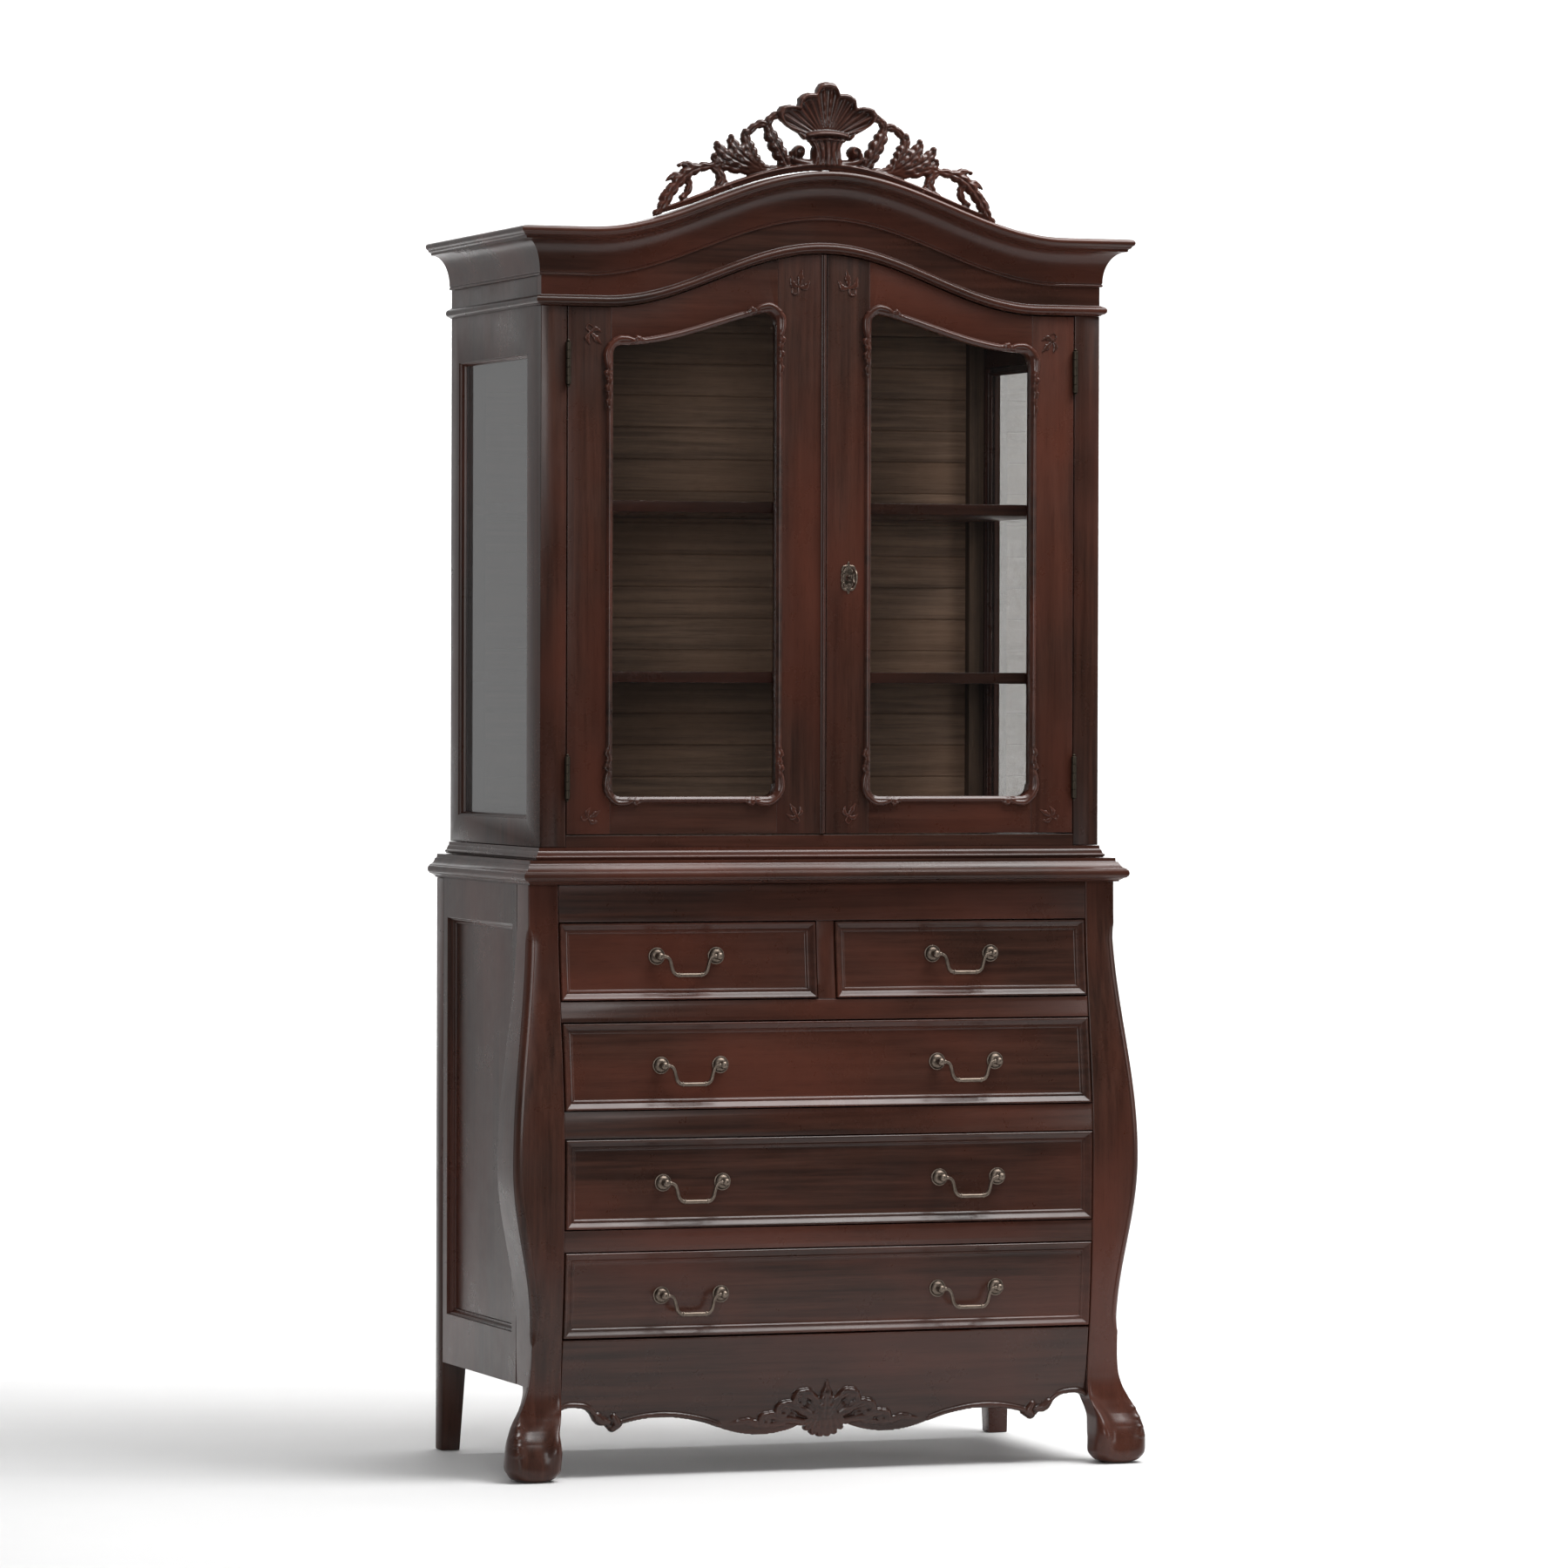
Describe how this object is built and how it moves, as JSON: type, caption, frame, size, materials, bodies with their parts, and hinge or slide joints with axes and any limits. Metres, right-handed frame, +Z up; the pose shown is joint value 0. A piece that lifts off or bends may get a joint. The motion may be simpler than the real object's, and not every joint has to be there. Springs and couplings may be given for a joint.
{
  "type": "china cabinet",
  "caption": "China cabinet in dark mahogany: arched top with pierced crest, two glazed doors over a bow-fronted chest of drawers on scrolled feet.",
  "frame": {"origin": "on the floor, under the middle of the cabinet's bounding box", "axes": "+Z up, the doors and drawers face -Y, +X to the right of someone facing the doors"},
  "size_m": [1.09, 0.578, 2.2363],
  "materials": {
    "mahogany": "dark polished lacquer",
    "inside_wood": "stained, matt",
    "drawer_wood": "bare, sanded",
    "pewter": "antique pewter",
    "glass": "clear"
  },
  "bodies": {
    "carcase": {"leg_front_right": "mahogany", "leg_front_left": "mahogany", "leg_back_right": "mahogany", "leg_back_left": "mahogany", "chest_side_right": "mahogany", "chest_side_left": "mahogany", "chest_back": "inside_wood", "top_rail": "mahogany", "web_frame_3": "mahogany", "web_frame_2": "mahogany", "web_frame_1": "mahogany", "drawer_divider": "mahogany", "apron": "mahogany", "chest_bottom": "inside_wood", "waist_moulding": "mahogany", "cabinet_base": "mahogany", "side_frame_right": "mahogany", "side_frame_left": "mahogany", "side_glass_right": "glass", "side_glass_left": "glass", "cabinet_back": "inside_wood", "frieze": "mahogany", "bead_moulding": "mahogany", "cornice": "mahogany", "cabinet_roof": "inside_wood", "crest": "mahogany", "shelf_lower": "mahogany", "shelf_upper": "mahogany", "hinge_lower_right": "pewter", "hinge_lower_left": "pewter", "hinge_upper_right": "pewter", "hinge_upper_left": "pewter"},
    "door_left": {"door_frame_left": "mahogany", "door_glass_left": "glass", "door_moulding_left": "mahogany", "meeting_bead": "mahogany"},
    "door_right": {"door_frame_right": "mahogany", "door_glass_right": "glass", "door_moulding_right": "mahogany", "escutcheon": "pewter", "lock_case": "pewter"},
    "key": {"key": "pewter"},
    "drawer_1_left": {"drawer_front_1_left": "mahogany", "drawer_box_1_left": "drawer_wood"},
    "bail_1_left": {"bail_1_left": "pewter"},
    "drawer_1_right": {"drawer_front_1_right": "mahogany", "drawer_box_1_right": "drawer_wood"},
    "bail_1_right": {"bail_1_right": "pewter"},
    "drawer_2": {"drawer_front_2": "mahogany", "drawer_box_2": "drawer_wood"},
    "bail_2_left": {"bail_2_left": "pewter"},
    "bail_2_right": {"bail_2_right": "pewter"},
    "drawer_3": {"drawer_front_3": "mahogany", "drawer_box_3": "drawer_wood"},
    "bail_3_left": {"bail_3_left": "pewter"},
    "bail_3_right": {"bail_3_right": "pewter"},
    "drawer_4": {"drawer_front_4": "mahogany", "drawer_box_4": "drawer_wood"},
    "bail_4_left": {"bail_4_left": "pewter"},
    "bail_4_right": {"bail_4_right": "pewter"}
  },
  "joints": [
    {"name": "door_left_hinge", "type": "hinge", "parent": "carcase", "child": "door_left", "pos_m": [-0.433, -0.2118, 1.446], "axis": [0, 0, -1], "range_deg": [0, 110]},
    {"name": "door_right_hinge", "type": "hinge", "parent": "carcase", "child": "door_right", "pos_m": [0.433, -0.2118, 1.446], "axis": [0, 0, 1], "range_deg": [0, 110]},
    {"name": "key_turn", "type": "hinge", "parent": "door_right", "child": "key", "pos_m": [0.043, -0.221, 1.438], "axis": [0, 1, 0], "range_deg": [0, 90]},
    {"name": "drawer_1_left_slide", "type": "slide", "parent": "carcase", "child": "drawer_1_left", "axis": [0, -1, 0], "range_m": [0, 0.36]},
    {"name": "bail_1_left_swing", "type": "hinge", "parent": "drawer_1_left", "child": "bail_1_left", "pos_m": [-0.235, -0.23896, 0.831], "axis": [-1, 0, 0], "range_deg": [-15, 95]},
    {"name": "drawer_1_right_slide", "type": "slide", "parent": "carcase", "child": "drawer_1_right", "axis": [0, -1, 0], "range_m": [0, 0.36]},
    {"name": "bail_1_right_swing", "type": "hinge", "parent": "drawer_1_right", "child": "bail_1_right", "pos_m": [0.235, -0.23896, 0.831], "axis": [-1, 0, 0], "range_deg": [-15, 95]},
    {"name": "drawer_2_slide", "type": "slide", "parent": "carcase", "child": "drawer_2", "axis": [0, -1, 0], "range_m": [0, 0.36]},
    {"name": "bail_2_left_swing", "type": "hinge", "parent": "drawer_2", "child": "bail_2_left", "pos_m": [-0.235, -0.26199, 0.6575], "axis": [-1, 0, 0], "range_deg": [-15, 95]},
    {"name": "bail_2_right_swing", "type": "hinge", "parent": "drawer_2", "child": "bail_2_right", "pos_m": [0.235, -0.26199, 0.6575], "axis": [-1, 0, 0], "range_deg": [-15, 95]},
    {"name": "drawer_3_slide", "type": "slide", "parent": "carcase", "child": "drawer_3", "axis": [0, -1, 0], "range_m": [0, 0.36]},
    {"name": "bail_3_left_swing", "type": "hinge", "parent": "drawer_3", "child": "bail_3_left", "pos_m": [-0.235, -0.27396, 0.471], "axis": [-1, 0, 0], "range_deg": [-15, 95]},
    {"name": "bail_3_right_swing", "type": "hinge", "parent": "drawer_3", "child": "bail_3_right", "pos_m": [0.235, -0.27396, 0.471], "axis": [-1, 0, 0], "range_deg": [-15, 95]},
    {"name": "drawer_4_slide", "type": "slide", "parent": "carcase", "child": "drawer_4", "axis": [0, -1, 0], "range_m": [0, 0.36]},
    {"name": "bail_4_left_swing", "type": "hinge", "parent": "drawer_4", "child": "bail_4_left", "pos_m": [-0.235, -0.26749, 0.291], "axis": [-1, 0, 0], "range_deg": [-15, 95]},
    {"name": "bail_4_right_swing", "type": "hinge", "parent": "drawer_4", "child": "bail_4_right", "pos_m": [0.235, -0.26749, 0.291], "axis": [-1, 0, 0], "range_deg": [-15, 95]}
  ]
}
